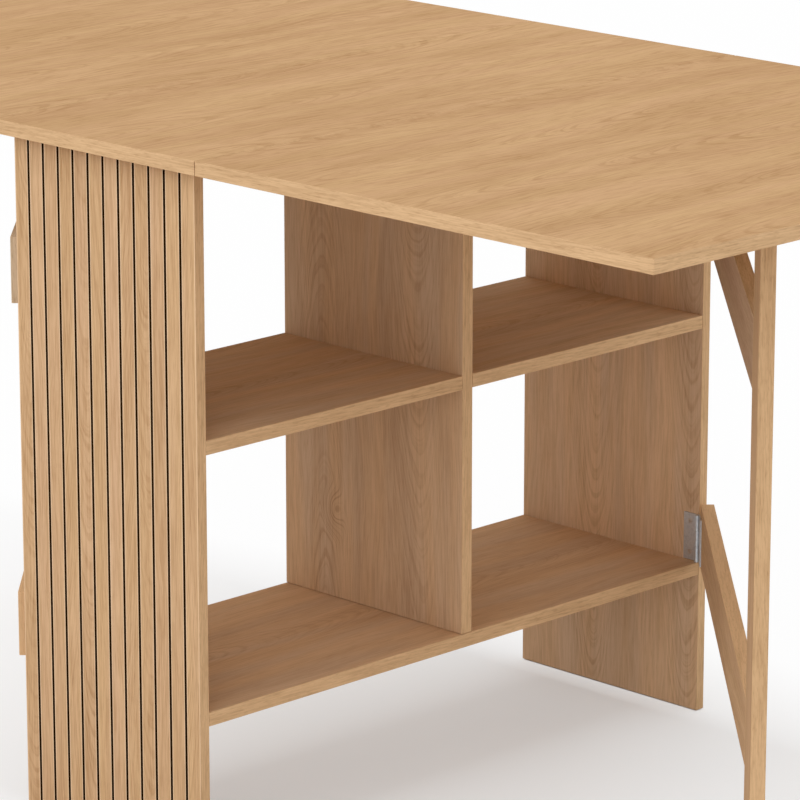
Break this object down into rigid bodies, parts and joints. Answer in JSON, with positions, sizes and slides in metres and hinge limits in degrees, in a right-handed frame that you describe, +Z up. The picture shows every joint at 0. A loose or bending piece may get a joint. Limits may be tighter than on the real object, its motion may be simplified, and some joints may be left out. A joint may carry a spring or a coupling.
{
  "type": "drop leaf kitchen table with storage cabinet",
  "caption": "Kitchen table of light oak board: open shelf cabinet with slatted ends under a narrow centre top, with drop leaves carried on hinged swing gates.",
  "frame": {"origin": "on the floor under the middle of the table", "axes": "+X along the table's length towards the right leaf, +Y along the cabinet towards its rear end panel, +Z up"},
  "size_m": [1.5, 0.8, 0.75],
  "materials": {
    "oak_board": "matt light oak decor on board, with matching edge band",
    "hinge_zinc": "zinc plated sheet steel",
    "screw_steel": "zinc plated",
    "dowel_beech": "raw beech",
    "cam_zinc": "zinc die casting",
    "glide_plastic": "pale moulded plastic"
  },
  "bodies": {
    "cabinet": {"cabinet_glides": "glide_plastic", "cabinet_hinge_screws": "screw_steel", "cam_bolts": "cam_zinc", "cam_discs": "cam_zinc", "centre_top": "oak_board", "divider": "oak_board", "divider_screws": "screw_steel", "front_end_panel": "oak_board", "front_upper_shelf": "oak_board", "left_gate_hinge_lower_fixed_plate": "hinge_zinc", "left_gate_hinge_pins": "hinge_zinc", "left_gate_hinge_upper_fixed_plate": "hinge_zinc", "left_leaf_hinge_front_fixed_plate": "hinge_zinc", "left_leaf_hinge_middle_fixed_plate": "hinge_zinc", "left_leaf_hinge_pins": "hinge_zinc", "left_leaf_hinge_rear_fixed_plate": "hinge_zinc", "lower_shelf": "oak_board", "rear_end_panel": "oak_board", "rear_upper_shelf": "oak_board", "right_gate_hinge_lower_fixed_plate": "hinge_zinc", "right_gate_hinge_pins": "hinge_zinc", "right_gate_hinge_upper_fixed_plate": "hinge_zinc", "right_leaf_hinge_front_fixed_plate": "hinge_zinc", "right_leaf_hinge_middle_fixed_plate": "hinge_zinc", "right_leaf_hinge_pins": "hinge_zinc", "right_leaf_hinge_rear_fixed_plate": "hinge_zinc", "shelf_dowels": "dowel_beech", "top_dowels": "dowel_beech"},
    "right_leaf": {"right_leaf_board": "oak_board", "right_leaf_hinge_front_moving_plate": "hinge_zinc", "right_leaf_hinge_middle_moving_plate": "hinge_zinc", "right_leaf_hinge_rear_moving_plate": "hinge_zinc", "right_leaf_screws": "screw_steel"},
    "left_leaf": {"left_leaf_board": "oak_board", "left_leaf_hinge_front_moving_plate": "hinge_zinc", "left_leaf_hinge_middle_moving_plate": "hinge_zinc", "left_leaf_hinge_rear_moving_plate": "hinge_zinc", "left_leaf_screws": "screw_steel"},
    "right_gate": {"right_gate_dowels": "dowel_beech", "right_gate_glides": "glide_plastic", "right_gate_hinge_lower_moving_plate": "hinge_zinc", "right_gate_hinge_upper_moving_plate": "hinge_zinc", "right_gate_lower_rail": "oak_board", "right_gate_post": "oak_board", "right_gate_screws": "screw_steel", "right_gate_upper_rail": "oak_board"},
    "left_gate": {"left_gate_dowels": "dowel_beech", "left_gate_glides": "glide_plastic", "left_gate_hinge_lower_moving_plate": "hinge_zinc", "left_gate_hinge_upper_moving_plate": "hinge_zinc", "left_gate_lower_rail": "oak_board", "left_gate_post": "oak_board", "left_gate_screws": "screw_steel", "left_gate_upper_rail": "oak_board"}
  },
  "joints": [
    {"name": "right_gate_swing", "type": "hinge", "parent": "cabinet", "child": "right_gate", "pos_m": [0.135, 0.3696, 0.394], "axis": [0, 0, 1], "range_deg": [-45, 45]},
    {"name": "right_leaf_lift", "type": "hinge", "parent": "cabinet", "child": "right_leaf", "pos_m": [0.152, 0, 0.7316], "axis": [0, -1, 0], "range_deg": [0, 2]},
    {"name": "left_gate_swing", "type": "hinge", "parent": "cabinet", "child": "left_gate", "pos_m": [-0.135, -0.3696, 0.394], "axis": [0, 0, 1], "range_deg": [-45, 45]},
    {"name": "left_leaf_lift", "type": "hinge", "parent": "cabinet", "child": "left_leaf", "pos_m": [-0.152, 0, 0.7316], "axis": [0, 1, 0], "range_deg": [0, 2]}
  ]
}
